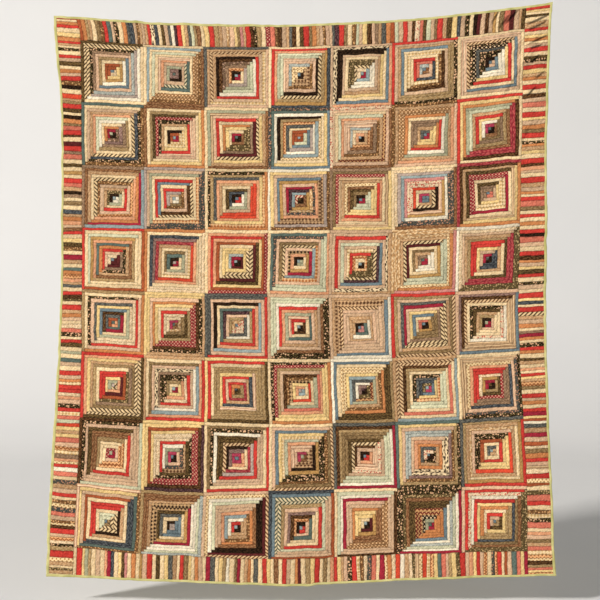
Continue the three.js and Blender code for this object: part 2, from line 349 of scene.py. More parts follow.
# Blotches of fading are about 110 mm wide, slubs 2.4 mm, and puckers 6.4 by 19 mm and leaning. Real threads
# are too fine to show, so the slubs stand in for them.
BLOTCH_SCALE, SLUB_SCALE = 9, 420
PUCKER, PUCKER_LEAN = (0.0064, 1, 0.019), (0, 0.62, 0)


def aged_cotton(tree, colour):
    """Finishes a sewn cotton: blotchy fading, worn slubs, puckers, painted shade in its ditches, creases and
    puckers, soft and dry.
    """
    body = add(tree, "TexCoord").outputs["Object"]
    edge = add(tree, "Attribute", attribute_name="edge").outputs["Fac"]
    blotch = add(tree, "TexNoise", {"Vector": body, "Scale": BLOTCH_SCALE, "Detail": 3})
    slub = add(tree, "TexNoise", {"Vector": body, "Scale": SLUB_SCALE, "Detail": 2})
    gather = add(tree, "Mapping", {"Vector": body, "Rotation": PUCKER_LEAN, "Scale": PUCKER},
                 vector_type="TEXTURE")
    gathers = add(tree, "TexNoise", {"Vector": gather.outputs[0], "Scale": 1, "Detail": 2, "Distortion": 0.4})
    pulled = gathers.outputs["Fac"]
    # The painted shade in the ditches wanders with the puckers
    wander = add(tree, "Math", {0: pulled, 1: 0.9, 2: -0.45}, operation="MULTIPLY_ADD")
    seam = add(tree, "Math", {0: edge, 1: wander.outputs[0]})
    shades = [  # each value, its range, and the tone at either end of that
        (blotch.outputs["Fac"], 0.3, 0.7, 0.9, 1.08),
        (slub.outputs["Fac"], 0.3, 0.7, 0.86, 1.12),
        # painted shade in the valleys of the puckers
        (pulled, 0.34, 0.62, 0.84, 1.1),
        # painted shade in the ditches between strips
        (seam.outputs[0], 0, 0.6, 0.5, 1),
        # painted shade in the sharp creases
        (edge, -0.8, -0.1, 0.35, 1),  # the sharp creases, where edge is below 0
    ]
    tone = 1
    for value, low, high, dark, light in shades:
        shade = add(tree, "MapRange", {"Value": value, "From Min": low, "From Max": high, "To Min": dark,
                                       "To Max": light})
        tone = add(tree, "Math", {0: tone, 1: shade.outputs[0]}, operation="MULTIPLY").outputs[0]
    shaded = add(tree, "HueSaturation", {"Color": colour, "Value": tone})

    pull = add(tree, "Bump", {"Height": pulled, "Strength": 0.85, "Distance": 0.003})
    weave = add(tree, "Bump", {"Height": slub.outputs["Fac"], "Strength": 0.35, "Distance": 0.0004,
                               "Normal": pull.outputs[0]})
    shader = add(tree, "BsdfPrincipled", {
        "Base Color": shaded.outputs[0], "Roughness": 0.94, "Specular IOR Level": 0.06,
        "Sheen Weight": 0.02, "Sheen Roughness": 0.6, "Normal": weave.outputs[0],
    })
    add(tree, "OutputMaterial", {"Surface": shader.outputs[0]})


def empty_tree(name):
    material = bpy.data.materials.new(name)
    material.use_nodes = True
    material.node_tree.nodes.clear()
    return material, material.node_tree


def printed_cotton(kind):
    """Woven cotton with one kind of print. Its two colours are carried by the cloth, strip by strip."""
    material, tree = empty_tree("cotton_" + kind)
    at = add(tree, "UVMap", uv_map="print").outputs[0]
    ground = add(tree, "Attribute", attribute_name="ground").outputs["Color"]
    figure = add(tree, "Attribute", attribute_name="figure").outputs["Color"]
    if kind == "floral":
        ground = leafy(tree, ground, at)
    low, high = TURNS_AT[kind]
    shown = add(tree, "MapRange", {"Value": pattern(tree, kind, at), "From Min": low, "From Max": high,
                                   "To Max": TICK_STRENGTH if kind == "tick" else 1.0})
    colour = add(tree, "MixRGB", {"Fac": shown.outputs[0], "Color1": ground, "Color2": figure})
    aged_cotton(tree, colour.outputs[0])
    return material


def muslin():
    """Unbleached cotton backing: creamy and a little grey, with clouds of 70 mm and rumples of 10 mm."""
    material, tree = empty_tree("cotton_backing")
    body = add(tree, "TexCoord").outputs["Object"]
    cloud = add(tree, "TexNoise", {"Vector": body, "Scale": 14, "Detail": 4})
    colour = add(tree, "MixRGB", {"Fac": cloud.outputs["Fac"], "Color1": linear("EBE0C2"),
                                  "Color2": linear("D8CAA4")})
    crumple = add(tree, "TexNoise", {"Vector": body, "Scale": 95, "Detail": 3})
    bump = add(tree, "Bump", {"Height": crumple.outputs["Fac"], "Strength": 0.7, "Distance": 0.002})
    shader = add(tree, "BsdfPrincipled", {
        "Base Color": colour.outputs[0], "Roughness": 0.93, "Specular IOR Level": 0.2,
        "Sheen Weight": 0.1, "Sheen Roughness": 0.6, "Normal": bump.outputs[0],
    })
    add(tree, "OutputMaterial", {"Surface": shader.outputs[0]})
    return material


BACKING = muslin()
COTTONS = [printed_cotton(kind) for kind in FABRICS]

# Patchwork
# Eight rows of seven log cabin blocks. Each block is a small square with ten rounds of narrow logs, light on
# one side of its diagonal and dark on the other, and its logs swell a little between the seams.

# The cottons of each block, charted from its outer round in. Its first line is the logs above and to
# the left, its second those below and to the right, then the centre. A number repeats a cotton.
BLOCKS = """
moss twill2 garden taupe blush khaki cream rust2
cream white lilac marble blush steel white ochre butter scribble steel
cream sky cream mint cream pinkstripe peach beige sage mauve
brown maple dots2 cream teal greentwill beige black mauve teal
slate tan browntwill tan black umber paisley taupe chain black
blush gingham beige red white mint sage lilac cream crimson sky
cream red peach mint2 pinkstripe blush marble yellowdots2
navy ochre khaki twill black blush maple browncheck2 black steel
beige leaf black2 beige cream forest2 twill scribble
peach steel cream butter tan beige white2 sky crimson sky
red beige tan steel cream gingham cream red salmon marble
garden khaki2 beige umber maple gingham navy blush brown steel
cream pinkstripe2 browntwill garden blackdots slate garden2 black
cream beige steel cream red butter white2 steel blush steel

teal cream beige tan peach mint white cream orange crimson
maple garden navy twill cream khaki taupe mauve paisley black sage
brown cream khaki moss reddots garden tan cream black rust
orange butter cream blush pinkstripe red butter gingham2 crimson sky
cream sage tanstripe blush red cream orange butter cream crimson
brown tan butter twill maroon taupe forest2 brown black teal
night teal white black khaki chain slate cream rust2
steel butter cream yellowdots sky white lilac steel mint rust sky
coral beige cream mint peach pinkstripe2 marble scribble peach
brown blush zigzag tan maple taupe brown chain tan black sky
maple tan dots2 orange cream taupe2 tan slate
blush peach tan sage white red orange butter2 crimson steel
red butter orange sage mint tan red butter white rose
cream umber diamond2 brown khaki taupe olive brown black teal

taupe brown tan cream twill maple beige tan forest black
sky crimson orange peach chain blush red cream sage white sky
lilac beige sage cream red steel cream red lilac beige
night2 orangecheck cream twill umber blush maple olive white sky
cream garden khaki slate peach tan cream moss navy black
orange orangecheck butter peach flame2 beige sage white red steel
white butter beige steel ochre blush crimson plum sky redstripe
maple lilac browncheck2 peach night tanleaf ochre brown black moss
taupe olive reddots tanstripe tan yellowdots brown moss olive black
butter tanstripe cream peach red butter2 mint2 crimson steel
cream scribble lilac sky pink coral2 flame cream rose
brown night2 white ochre pinkstripe black twill tan steel steel
diamond umber tan moss reddots2 cream moss taupe2
orange butter tanstripe cream crimson gingham2 butter beige salmon steel

red cream mint ochre peach teal orange red blush scribble
rust cream2 khaki brown tan garden taupe maroon2 steel
orange cream navy mauve diamond tan cream olive teal black
scribble2 cream peach flame gingham scribble sage cream crimson lilac
cream peach red peach rust cream butter2 marble crimson
reddots rust butter moss maroon twill2 butter maroon black sky
cream teal night blush olive twill blush blackcheck peach black
peach mint2 blush orangecheck sky crimson ochre cream sage sky
beige2 red blush mint beige gingham red chain cream
tan leaf beige steel plum twill forest2 orangecheck black sky
tanleaf3 tan twill maroon cream olive tan taupe
pink orange yellowdots meadow2 ochre cream white2 crimson teal
white scribble beige tan khaki red2 butter beige crimson
forest2 diamond2 moss cream tan navy2 black slate

khaki cream garden blush slate butter steel umber slate rust
orange blush red scribble2 sage cream crimson teal peach teal
butter2 blush orange butter cream red scribble2 rose
tan garden umber reddots2 khaki moss olive tanleaf brown teal
slate2 blush black cream teal plum blush khaki tanleaf
red blush sky peach red khaki white slate coral2 steel
beige mint2 white red peach sage pinkstripe red cream
garden2 brown beige tan blush teal cream umber black sky
beige tan browncheck2 browntwill blush beige tan2 black
white steel beige3 blush tan white teal pink steel
red khaki beige slate crimson blush butter steel cream salmon
browntwill olive tan twill2 taupe olive2 ochre black steel
blush mauve umber browntwill cream garden moss tan khaki black
steel tanstripe3 white coral cream2 blush crimson sage

red peach butter tan khaki cream red2 butter sage
moss twill2 olive taupe forest rust maroon peach twill lilac
tan cream olive blush leaf taupe garden2 khaki cream
red peach sky white beige red scribble peach butter crimson sky
butter red cream khaki2 butter red blush red orange
moss khaki3 pinkstripe navy tan diamond khaki moss navy
cream garden reddots khaki beige umber maple blackcheck butter peach
orange butter2 peach salmon sage cream flame cream sky lilac
white steel cream yellowdots2 butter sky slate white mauve
khaki moss2 orange maple tan sage zigzag forest black plum
tan browntwill2 umber khaki cream garden slate navy forest
sky cream salmon cream mint2 orangecheck butter steel rose sky
cream tanstripe2 yellowdots peach red2 scribble ochre crimson
garden night blush navy taupe2 reddots moss khaki black moss

umber garden blush moss brown2 khaki cream2 reddots
mint beige3 red cream chain2 blush crimson sage
butter2 rust butter scribble2 red white sage rose
plum umber reddots2 garden moss browncheck night blush black steel
cream olive garden white moss2 browntwill black mauve rose
red cream beige2 red lilac diamond cream peach rose steel
cream blush steel butter gingham meadow peach pinkstripe blush rose
browntwill olive maple garden2 ochre black browncheck2 brown sage
slate umber khaki olive2 moss twill umber blush black
crimson white mint2 beige coral pinkstripe2 peach red steel
teal butter blush marble2 beige peach orange slate coral
garden khaki maple mauve leaf2 orange tan garden black steel
slate khaki tan tanleaf blush garden2 rust cream slate
red ochre cream tan flame butter2 red cream tan sky

pinkstripe butter beige rust cream red2 cream mint2
maple teal navy2 cream tan black twill2 olive steel
khaki brown2 tan blackcheck2 moss slate cream black
marble mint white2 crimson ochre cream steel2 lilac lilac
beige yellowdots white mint beige2 peach sky white red
browntwill maroon black2 brown orange maple tan2 black sky
navy steel greentwill2 khaki blush mauve umber chain black
rust beige2 mint red cream2 teal blush red sky
cream mint white crimson blush beige orange butter2 cream
umber beige2 dots2 brown2 ochre maroon black sky
garden2 forest brown moss2 zigzag2 blackdots sage
crimson white meadow marble white steel orange3 crimson teal
blush red coral white red butter orange scribble red blush
forest2 brown olive navy khaki2 butter moss khaki steel
"""
ROUNDS = 10
SPAN = 3  # cells across a log: up from the seam, over its crown, and down again
CELLS = (2 * ROUNDS + 1) * SPAN
CROWN = 0.95
BLOCK_PUFF, BORDER_PUFF, PUFF_RISE = 2.0, 1.0, 0.3  # how far they stand proud, and how fast they rise
PRINT_START = 400  # how far along its cloth a strip may have been cut
TONE_SPREAD, TONE_RANGE = 0.07, (0.8, 1.2)
CROWN_RANGE = (0.7, 1.2)
# How far a seam and a block's centre stray, and how much the inner rounds are turned, in radians
SEAM_STRAY, CENTRE_STRAY, TURN = 0.8, 2.2, 0.022
SMOOTH_BELOW = math.radians(55)
kinds, names, cottons = zip(*((kind, *named) for kind in FABRICS for named in FABRICS[kind].items()))
grounds, figures = (np.array([linear(cotton[k]) for cotton in cottons]) for k in (0, 1))
repeats = np.array([repeat for *_, repeat in cottons], float)
prints = np.array([list(FABRICS).index(kind) for kind in kinds])


def rounds_of(words):
    """The cotton of each round, from the centre out, as its place in the list of cottons."""
    found = []
    for word in words:
        name = word.rstrip("0123456789")
        found += [names.index(name)] * int(word[len(name):] or 1)
    if len(found) != ROUNDS:
        raise ValueError(f"{len(found)} rounds in: {' '.join(words)}")
    return found[::-1]


def puff_between(share):
    return np.sin(np.pi * np.clip(share, 0, 1)) ** PUFF_RISE


class Patches:
    """The pieces that are sewn on a sheet: which cotton each cell shows, and how it lies on its strip."""

    def __init__(self, down_cells, across_cells, seed):
        cells, points = (down_cells, across_cells), (down_cells + 1, across_cells + 1)
        self.cotton, self.upright = np.zeros(cells, int), np.zeros(cells, bool)
        self.start, self.flip, self.tone = np.zeros((*cells, 2)), np.ones(cells), np.ones(cells)
        self.crown, self.edge = np.zeros(points), np.zeros(points)
        self.draw = np.random.default_rng(seed)

    def sew(self, top, bottom, left, right, cotton, upright, flip):
        """Sews one strip over a range of cells. Its seams lie low and its middle stands up."""
        here = (slice(top, bottom), slice(left, right))
        inside = (slice(top + 1, bottom), slice(left + 1, right))
        self.cotton[here], self.upright[here], self.flip[here] = cotton, upright, flip
        self.start[here] = self.draw.uniform(0, PRINT_START, 2)
        self.tone[here] = self.draw.normal(1, TONE_SPREAD)
        self.crown[inside] = self.draw.uniform(*CROWN_RANGE)
        # The seams keep an openness of 0, where the material paints shade in the ditch
        self.edge[inside] = 1


def sew_block(patches, left, upper, lower):
    """Sews the rounds of one block, from the centre out, in the order right, below, left and above."""
    *lower, centre = lower.split()
    above, below = rounds_of(upper.split()), rounds_of(lower)
    low, high = ROUNDS * SPAN, (ROUNDS + 1) * SPAN
    patches.sew(low, high, left + low, left + high, names.index(centre), False, 1)
    for k in range(ROUNDS):
        flips = patches.draw.choice([-1, 1], 2)
        out_low, out_high = low - SPAN, high + SPAN
        ranges = [
            (low, high, high, out_high, below[k], True, flips[0]),
            (high, out_high, low, out_high, below[k], False, flips[0]),
            (low, out_high, out_low, low, above[k], True, flips[1]),
            (out_low, low, out_low, out_high, above[k], False, flips[1]),
        ]
        for a, b, c, d, cotton, upright, flip in ranges:
            patches.sew(a, b, left + c, left + d, cotton, upright, flip)
        low, high = out_low, out_high


def stray_lines(draw):
    """How far each line of a block strays: the centre is off the middle and the strips are unevenly wide."""
    seams = 2 * ROUNDS + 2
    along = np.linspace(0, 1, seams)
    stray = draw.normal(0, CENTRE_STRAY) * np.minimum(along, 1 - along) * 2
    stray = stray + draw.normal(0, SEAM_STRAY, seams) * (np.minimum(along, 1 - along) > 0)
    return np.interp(np.linspace(0, 1, CELLS + 1), along, stray)


def block_lines(start):
    return start + np.linspace(0, BLOCK, CELLS + 1)


def off_rim():
    """For each line of a block, 1 well inside it and 0 at its rim."""
    line = np.arange(CELLS + 1)
    t = np.clip(np.minimum(line, CELLS - line) / SPAN, 0, 1)
    return t * t * (3 - 2 * t)


def block_warp(across, down, draw):
    """Moves the lines of one block: stray seams, and inner rounds that were sewn a little turned."""
    inside = off_rim()
    middle_x, middle_y = across.mean(), down.mean()
    turn = draw.normal(0, TURN)
    reach = np.clip(np.maximum(np.abs(across - middle_x), np.abs(down - middle_y)) / (BLOCK / 2), 0, 1)
    turned = turn * (1 - reach**2)
    shift_x = stray_lines(draw)[None, :] * inside[:, None] - turned * (down - middle_y)
    shift_y = stray_lines(draw)[:, None] * inside[None, :] + turned * (across - middle_x)
    return across + shift_x, down + shift_y


def sheet_mesh(name, across, down, forward, patches):
    """A closed sheet over a net of flat places. The back has every third line and all points of the rim."""
    tall, wide = across.shape
    back_used = np.zeros((tall, wide), bool)
    back_used[::SPAN, ::SPAN] = True
    back_used[[0, -1], :] = back_used[:, [0, -1]] = True
    front = hang(across, down, forward).reshape(-1, 3)
    back = hang(across, down, -CLOTH)[back_used]
    index = np.arange(tall * wide).reshape(tall, wide)
    behind = np.full((tall, wide), -1)
    behind[back_used] = len(front) + np.arange(len(back))

    quads = np.stack([index[:-1, :-1], index[1:, :-1], index[1:, 1:], index[:-1, 1:]], -1).reshape(-1, 4)
    faces = quads.tolist()
    for i in range(0, tall - 1, SPAN):
        for j in range(0, wide - 1, SPAN):
            k, m = i + SPAN, j + SPAN
            top = behind[i, j:m] if i == 0 else behind[i, [j]]
            right = behind[i:k, m] if m == wide - 1 else behind[[i], m]
            bottom = behind[k, m:j:-1] if k == tall - 1 else behind[k, [m]]
            left = behind[k:i:-1, j] if j == 0 else behind[[k], j]
            faces.append(np.concatenate([top, right, bottom, left]).tolist())
    rim = [(0, j) for j in range(wide - 1)] + [(i, wide - 1) for i in range(tall - 1)]
    rim += [(tall - 1, j) for j in range(wide - 1, 0, -1)] + [(i, 0) for i in range(tall - 1, 0, -1)]
    for here, after in zip(rim, rim[1:] + rim[:1]):
        faces.append([index[here], index[after], behind[after], behind[here]])

    mesh = bpy.data.meshes.new(name)
    mesh.from_pydata(np.concatenate([front, back]).tolist(), [], faces)
    # The share of full painted shade in a sharp crease, set by how deep the crease lies
    crease_shade = np.clip(crease_depth(front[:, 0] / MM, front[:, 2] / MM) / CREASE_DARK, 0, 1)
    dress(mesh, across, down, patches, len(quads), patches.edge.ravel() * (1 - crease_shade) - crease_shade)
    return mesh


def dress(mesh, across, down, patches, cells, open_cloth):
    """Gives the cells their colours, material and places on the print, and the points their openness.

    open_cloth is 1 on open cloth, 0 in the ditch of a seam, and below 0 in a sharp crease; where it is low
    the material paints shade."""
    corners = 4 * cells
    cotton, upright = patches.cotton.ravel(), patches.upright.ravel()
    tone = np.ones((cells, 4))
    tone[:, :3] = np.clip(patches.tone.ravel(), *TONE_RANGE)[:, None]
    for name, colours in (("ground", grounds), ("figure", figures)):
        values = np.ones((len(mesh.loops), 4), np.float32)
        values[:corners] = np.repeat(colours[cotton] * tone, 4, 0)
        mesh.attributes.new(name, "FLOAT_COLOR", "CORNER").data.foreach_set("color", values.ravel())

    def at_corners(flat):
        return np.stack([flat[:-1, :-1], flat[1:, :-1], flat[1:, 1:], flat[:-1, 1:]], -1).reshape(-1, 4)

    x, y = at_corners(across), at_corners(down)
    along = np.where(upright[:, None], y, x)
    aside = np.where(upright[:, None], -x, y) * patches.flip.ravel()[:, None]
    start = patches.start.reshape(-1, 2)
    on_cloth = np.stack([along + start[:, :1], aside + start[:, 1:]], -1)
    on_cloth = on_cloth * (1 / repeats[cotton][:, None, None])
    values = np.zeros((len(mesh.loops), 2), np.float32)
    values[:corners] = on_cloth.reshape(-1, 2)
    mesh.uv_layers.new(name="print").data.foreach_set("uv", values.ravel())

    # Each point's openness, low where the material paints shade in ditches and creases; the back stays open
    edge = np.ones(len(mesh.vertices), np.float32)
    edge[:len(open_cloth)] = open_cloth
    mesh.attributes.new("edge", "FLOAT", "POINT").data.foreach_set("value", edge)
    for material in COTTONS + [BACKING]:
        mesh.materials.append(material)
    slots = np.full(len(mesh.polygons), len(COTTONS))
    slots[:cells] = prints[cotton]
    mesh.polygons.foreach_set("material_index", slots)


def place(name, mesh, node, slot, flat):
    """Puts a finished cloth in the scene, in the place of its solid."""
    piece = bpy.data.objects.new(name, mesh)
    bpy.context.collection.objects.link(piece)
    bpy.ops.object.select_all(action="DESELECT")
    piece.select_set(True)
    bpy.context.view_layer.objects.active = piece
    bpy.ops.object.shade_smooth_by_angle(angle=SMOOTH_BELOW)
    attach(piece, "root")
    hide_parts(node)


def trim(lines, first, last):
    """Holds the outer lines of a piece half a gap inside its seams."""
    return np.clip(lines, first + HALF_GAP, last - HALF_GAP)


chart = [line for line in BLOCKS.splitlines() if line]
blocks = list(zip(chart[::2], chart[1::2]))
for row in range(ROWS):
    seed = 100 + row
    draw = np.random.default_rng(seed)
    patches = Patches(CELLS, CELLS * COLUMNS, seed)
    top = TOP_BORDER + row * BLOCK
    across = np.zeros((CELLS + 1, CELLS * COLUMNS + 1))
    down = np.zeros_like(across)
    for column in range(COLUMNS):
        here = slice(column * CELLS, (column + 1) * CELLS + 1)
        even = np.meshgrid(block_lines(LEFT_BORDER + column * BLOCK), block_lines(top))
        across[:, here], down[:, here] = block_warp(*even, draw)
        sew_block(patches, column * CELLS, *blocks[row * COLUMNS + column])
    across = trim(across, LEFT_BORDER, FIELD_RIGHT)
    down = trim(down, top, top + BLOCK)
    puff = puff_between(((across - LEFT_BORDER) / BLOCK) % 1) * puff_between((down - top) / BLOCK)
    mesh = sheet_mesh(f"row_{row + 1}", across, down, BLOCK_PUFF * puff + CROWN * patches.crown, patches)
    place(f"row_{row + 1}", mesh, "patchwork", "patchwork_cotton", (COLUMNS * BLOCK, BLOCK))

# Borders
# Leftover strips of the same cottons, sewn side by side and cut to a band. The side bands run the full
# height, their strips lying level, and the top and bottom bands stand between them, their strips upright.
FOLD_DEPTH = BINDING_CLOTH + GAP  # where a border starts, inside the binding's fold
UNDER_BINDING = 0.16  # the share of a strip's cells that the binding covers
STRIP, STRIP_RANGE = 13.4, (0.65, 1.25)  # mean width, and how much narrower or wider a strip may be
WIDER_RED, STRIP_LEAN = 1.25, 0.5  # how much wider the red ones are, and how far a seam leans
BORDER_CROWN, CROWN_RISE = 0.9, 12  # height, and the distance past the binding in which it is reached
LENGTH_CELLS = 36
WIDTH_CELLS = 6  # cells across a strip, twice as fine as a log's, for the creases
# The cottons of the strips, from the top down or from the left, listed one by one. Their shares of pale,
# red and dark were then adjusted until each whole border's mean colour and brightness came near the real
# one's.
LISTED = {
    "left": """
red cream orange red cream butter orange red tan cream garden cream red beige moss cream orange blush
red maple black cream flame tan khaki red moss cream black orange olive salmon red umber cream maroon
red taupe salmon cream moss cream ochre cream red salmon tan black taupe cream olive cream navy tan
orange peach beige brown red cream butter moss maple cream crimson tan cream teal orange chain peach
tan slate cream red umber forest cream red tan orange beige cream scribble salmon garden cream red
moss cream sage cream teal beige cream red beige orange gingham red""",
    "right": """
red butter cream moss cream tan red cream butter orange cream beige red cream moss garden beige red
butter tan orange cream red cream umber beige salmon cream red butter beige orange olive red cream
garden orange tan butter cream red umber peach beige cream red tan beige orange cream red salmon olive
cream red cream orange cream red black salmon beige cream red umber orange beige butter moss red cream
garden beige cream red butter navy cream red twill tan beige orange cream taupe crimson orange cream
garden red orange cream moss tan cream peach cream red butter tan chain olive cream red beige orange
cream red""",
    "top": """
rust orange khaki tan cream olive maple red teal beige garden cream orange slate navy beige maple tan
beige tan red leaf navy cream moss beige slate white plum red butter tan slate mint khaki brown cream
butter red khaki tan beige tanleaf blush butter olive pink tan red umber garden khaki cream reddots
salmon maple umber beige tan slate umber cream moss red olive orange tan beige maple blush beige slate
plum red olive cream maple mint beige butter umber blush taupe tan slate orange rust mint beige red
blush umber coral salmon moss mint beige olive red tan moss butter navy beige garden cream black
maroon beige umber beige ochre cream olive salmon maroon beige tan moss blush""",
    "bottom": """
cream red butter sage khaki cream beige cream peach crimson navy cream butter moss pink cream orange
cream ochre blush red cream moss cream butter slate tan cream red olive butter cream orange beige
cream crimson slate cream butter khaki white cream olive crimson cream tan orange cream slate cream
red butter cream brown cream red beige cream orange maroon cream khaki butter red cream olive cream
peach""",
}
RED_ONES = ("red", "red", "red", "flame", "crimson", "salmon")
PALE_ONES = ("cream", "butter", "white", "blush", "scribble", "beige", "gingham", "mint", "yellowdots")
WARM_ONES = ("orange", "peach", "tan", "rust", "ochre", "salmon", "chain", "khaki", "maple", "tanstripe")
DARK_ONES = ("slate", "moss", "brown", "garden", "forest", "olive", "umber", "navy", "night", "taupe", "teal")
SCRAP_ORDER = (PALE_ONES, WARM_ONES, PALE_ONES, DARK_ONES, WARM_ONES, PALE_ONES)
BETWEEN_REDS = (3, 7)  # from the first up to, but not with, the second


def scraps(listed, count, draw):
    """The listed strips, then more from the scrap bag, with a red one now and then between pale ones."""
    chosen = listed.split()
    while len(chosen) < count:
        chosen.append(draw.choice(RED_ONES))
        for bag in SCRAP_ORDER[: draw.integers(*BETWEEN_REDS)]:
            chosen.append(draw.choice(bag))
    return chosen[:count]


# How a band that is laid out from its raw edge inwards is turned to its side of the quilt
TURNED = {
    "top": lambda net: net,
    "bottom": lambda net: net[::-1],
    "left": lambda net: net.swapaxes(0, 1),
    "right": lambda net: net.swapaxes(0, 1)[:, ::-1],
}


def border(side, size, length):
    """A band of strips. Its strips are laid along it, and reach from the raw edge to the border's seam."""
    seed = 200 + len(side) + size
    draw = np.random.default_rng(seed)
    upright = side in ("top", "bottom")
    start, end = FOLD_DEPTH, FLAT_HEIGHT - FOLD_DEPTH
    if upright:
        start, end = LEFT_BORDER + HALF_GAP, FIELD_RIGHT - HALF_GAP
    count = round((end - start) / STRIP)
    chosen = scraps(LISTED[side], count, draw)
    widths = draw.uniform(*STRIP_RANGE, count) * np.where(np.isin(chosen, RED_ONES), WIDER_RED, 1)
    seams = start + (end - start) * np.concatenate([[0], np.cumsum(widths)]) / widths.sum()
    position = np.arange(count * WIDTH_CELLS + 1) / WIDTH_CELLS
    lines = np.interp(position, np.arange(count + 1), seams)
    ramp = np.clip(SPAN * np.minimum(position % 1, 1 - position % 1), 0, 1)
    inward = np.interp(np.linspace(0, 1, LENGTH_CELLS + 1), [0, UNDER_BINDING, 1],
                       [FOLD_DEPTH, BOUND_BAND, size - HALF_GAP])
    patches = Patches(LENGTH_CELLS, count * WIDTH_CELLS, seed)
    for k, name in enumerate(chosen):
        patches.sew(0, LENGTH_CELLS, k * WIDTH_CELLS, (k + 1) * WIDTH_CELLS, names.index(name), upright, 1)
    # Crown and openness rise from each seam, so the painted shade of the ditch fades across a strip
    patches.crown, patches.edge = patches.crown * np.sin(np.pi / 2 * ramp), patches.edge * ramp
    patches.crown[0], patches.edge[0] = patches.crown[1], patches.edge[1]
    past_binding = inward - BOUND_BAND
    puff = BORDER_PUFF * puff_between(past_binding / (size - BOUND_BAND))[:, None]
    crown = BORDER_CROWN * patches.crown * np.clip(past_binding / CROWN_RISE, 0, 1)[:, None]
    in_the_open = upright | (lines > BOUND_BAND) & (lines < FLAT_HEIGHT - BOUND_BAND)
    forward = (puff + crown) * in_the_open
    lean = draw.normal(0, STRIP_LEAN, count + 1) * (np.arange(count + 1) % count > 0)
    leans = np.interp(position, np.arange(count + 1), lean)
    along = lines[None, :] + leans[None, :] * np.linspace(-1, 1, LENGTH_CELLS + 1)[:, None]
    inward = np.repeat(inward[:, None], along.shape[1], 1)
    if side in ("bottom", "right"):
        inward = (FLAT_HEIGHT if upright else FLAT_WIDTH) - inward
    turned = TURNED[side]
    across, down = (turned(net) for net in ((along, inward) if upright else (inward, along)))
    for name in ("cotton", "upright", "start", "flip", "tone", "crown", "edge"):
        setattr(patches, name, turned(getattr(patches, name)).copy())
    node = "border_" + side
    mesh = sheet_mesh(node, across, down, turned(forward), patches)
    place(node + "_strips", mesh, node, "border_cotton", (size, length))


border("left", LEFT_BORDER, FLAT_HEIGHT)
border("right", RIGHT_BORDER, FLAT_HEIGHT)
border("top", TOP_BORDER, COLUMNS * BLOCK)
border("bottom", BOTTOM_BORDER, COLUMNS * BLOCK)

# Binding
# A narrow strip of yellow-green cotton, folded over the raw edges and felled down by hand on both faces. It
# is about 9 mm wide, rolled a little over the wadding, with small dents where the stitches pull it down.
LAP = GAP + BINDING_CLOTH
BINDING_STEP = 5.0
BINDING_ROLL = 0.16  # how unevenly it is rolled over the edge
BINDING_FLAT = 24
# The folded section: how far each point lies in from the edge, and back from the front of the cloth
SECTION = [
    (BINDING, -LAP + 0.3), (BINDING, -GAP), (BINDING_CLOTH, -GAP), (BINDING_CLOTH, CLOTH + GAP),
    (BINDING, CLOTH + GAP), (BINDING, CLOTH + LAP - 0.3), (7.6, CLOTH + LAP), (4.5, CLOTH + LAP + 0.25),
    (2.2, CLOTH + LAP + 0.1), (0.7, CLOTH + 0.6), (0, CLOTH - 0.6), (-0.1, CLOTH / 2), (0, 0.6), (0.7, -0.6),
    (2.2, -LAP - 0.1), (4.5, -LAP - 0.25), (7.6, -LAP),
]


def binding_cotton():
    """Plain dyed cotton, a faded yellow green, with clouds of 38 mm and a drag line each 4 mm or so."""
    material, tree = empty_tree("cotton_binding")
    body = add(tree, "TexCoord").outputs["Object"]
    strip = add(tree, "UVMap", uv_map="strip").outputs[0]
    cloud = add(tree, "TexNoise", {"Vector": body, "Scale": 26, "Detail": 4})
    faded = add(tree, "MapRange", {"Value": cloud.outputs["Fac"], "From Min": 0.32, "From Max": 0.68})
    colour = add(tree, "MixRGB", {"Fac": faded.outputs[0], "Color1": linear("AEAA66"),
                                  "Color2": linear("D3CC8E")})
    drag = add(tree, "Mapping", {"Vector": strip, "Scale": (230, 60, 1)})
    drags = add(tree, "TexNoise", {"Vector": drag.outputs[0], "Scale": 1, "Detail": 2})
    bump = add(tree, "Bump", {"Height": drags.outputs["Fac"], "Strength": 0.8, "Distance": 0.0012})
    shader = add(tree, "BsdfPrincipled", {
        "Base Color": colour.outputs[0], "Roughness": 0.88, "Specular IOR Level": 0.25,
        "Sheen Weight": 0.12, "Sheen Roughness": 0.55, "Normal": bump.outputs[0],
    })
    add(tree, "OutputMaterial", {"Surface": shader.outputs[0]})
    return material


BINDING_COTTON = binding_cotton()


